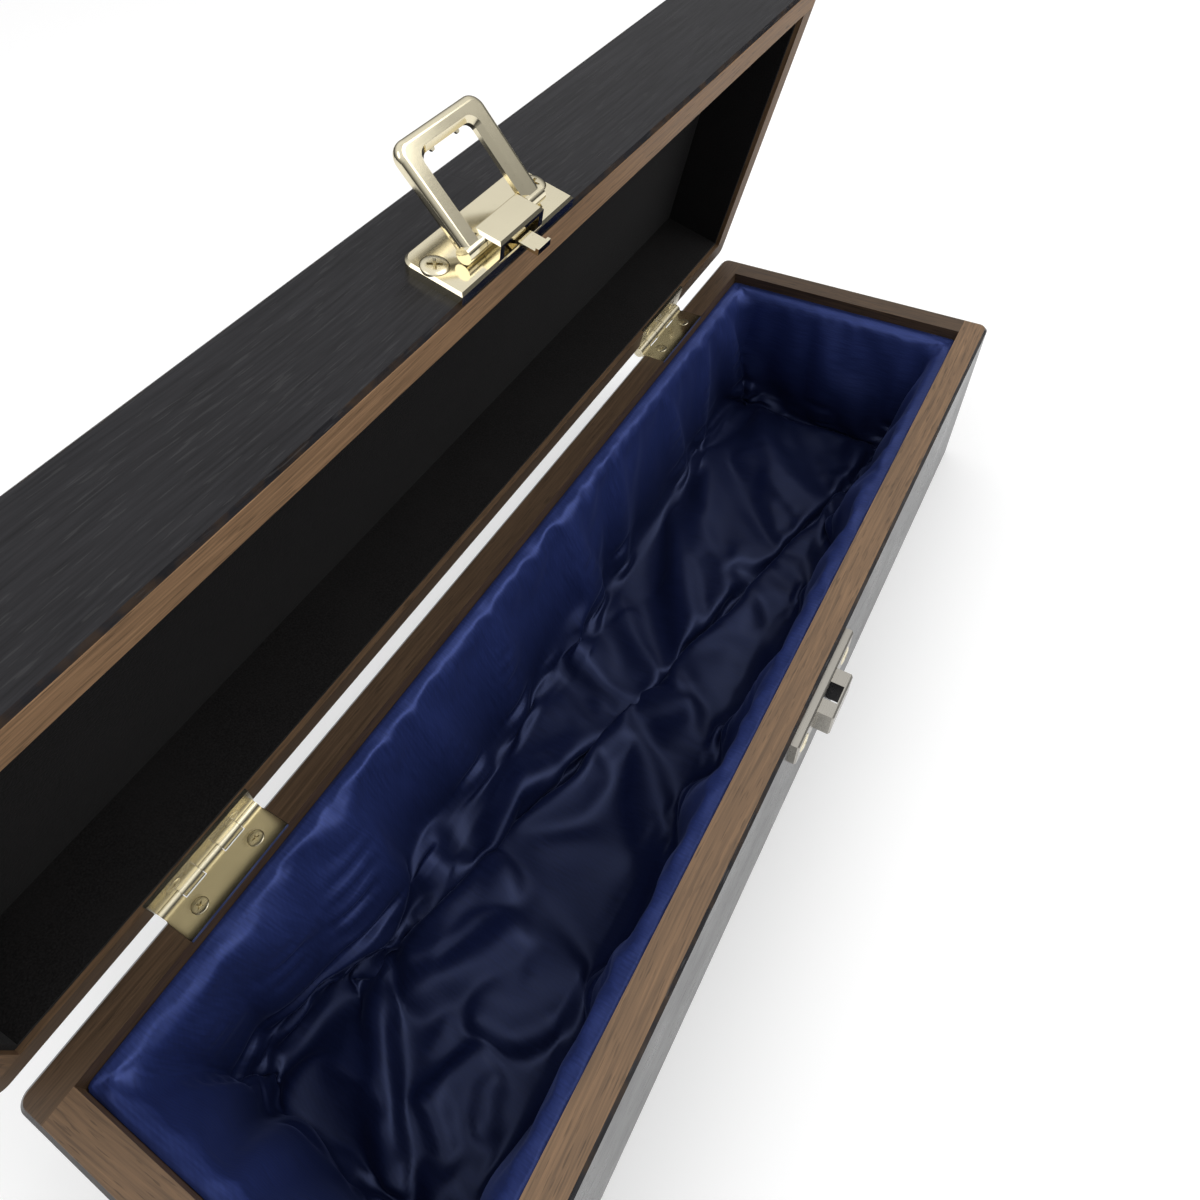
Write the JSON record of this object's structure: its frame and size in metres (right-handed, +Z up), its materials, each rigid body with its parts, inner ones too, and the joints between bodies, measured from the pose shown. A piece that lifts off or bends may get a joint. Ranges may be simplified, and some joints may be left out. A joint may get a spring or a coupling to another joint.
{
  "type": "wooden wine box",
  "caption": "Long black-stained wooden case with a blue satin bed, a lid on butt hinges and a nickel ring latch that drops over a slotted keeper.",
  "frame": {"origin": "middle of the underside of the base", "axes": "+X along the box, -Y towards the latch side, +Z up"},
  "size_m": [0.365, 0.153, 0.2068],
  "materials": {
    "stained_wood": "black stain under satin lacquer, rims worn to brown",
    "satin": "padded blue satin",
    "lid_lining": "matt black flock",
    "nickel": "polished warm nickel plate"
  },
  "bodies": {
    "base": {"base_front_wall": "stained_wood", "base_back_wall": "stained_wood", "base_left_end": "stained_wood", "base_right_end": "stained_wood", "base_bottom_panel": "stained_wood", "satin_floor": "satin", "satin_front": "satin", "satin_back": "satin", "satin_left": "satin", "satin_right": "satin", "left_hinge_base_leaf": "nickel", "left_hinge_pin": "nickel", "right_hinge_base_leaf": "nickel", "right_hinge_pin": "nickel", "base_hinge_screws": "nickel", "keeper_plate": "nickel", "keeper_screws": "nickel"},
    "lid": {"lid_front_wall": "stained_wood", "lid_back_wall": "stained_wood", "lid_left_end": "stained_wood", "lid_right_end": "stained_wood", "lid_top_panel": "stained_wood", "lid_lining_panel": "lid_lining", "lid_lining_front": "lid_lining", "lid_lining_back": "lid_lining", "lid_lining_left": "lid_lining", "lid_lining_right": "lid_lining", "left_hinge_lid_leaf": "nickel", "right_hinge_lid_leaf": "nickel", "lid_hinge_screws": "nickel", "latch_plate": "nickel", "latch_pin": "nickel", "latch_tongue": "nickel", "latch_screws": "nickel"},
    "ring": {"latch_ring": "nickel"}
  },
  "joints": [
    {"name": "lid_hinge", "type": "hinge", "parent": "base", "child": "lid", "pos_m": [0, 0.0597, 0.0682], "axis": [-1, 0, 0], "range_deg": [-73.7, 106.3]},
    {"name": "ring_pivot", "type": "hinge", "parent": "lid", "child": "ring", "pos_m": [0, 0.03061, 0.18691], "axis": [1, 0, 0], "range_deg": [-34.9, 142.1]}
  ]
}
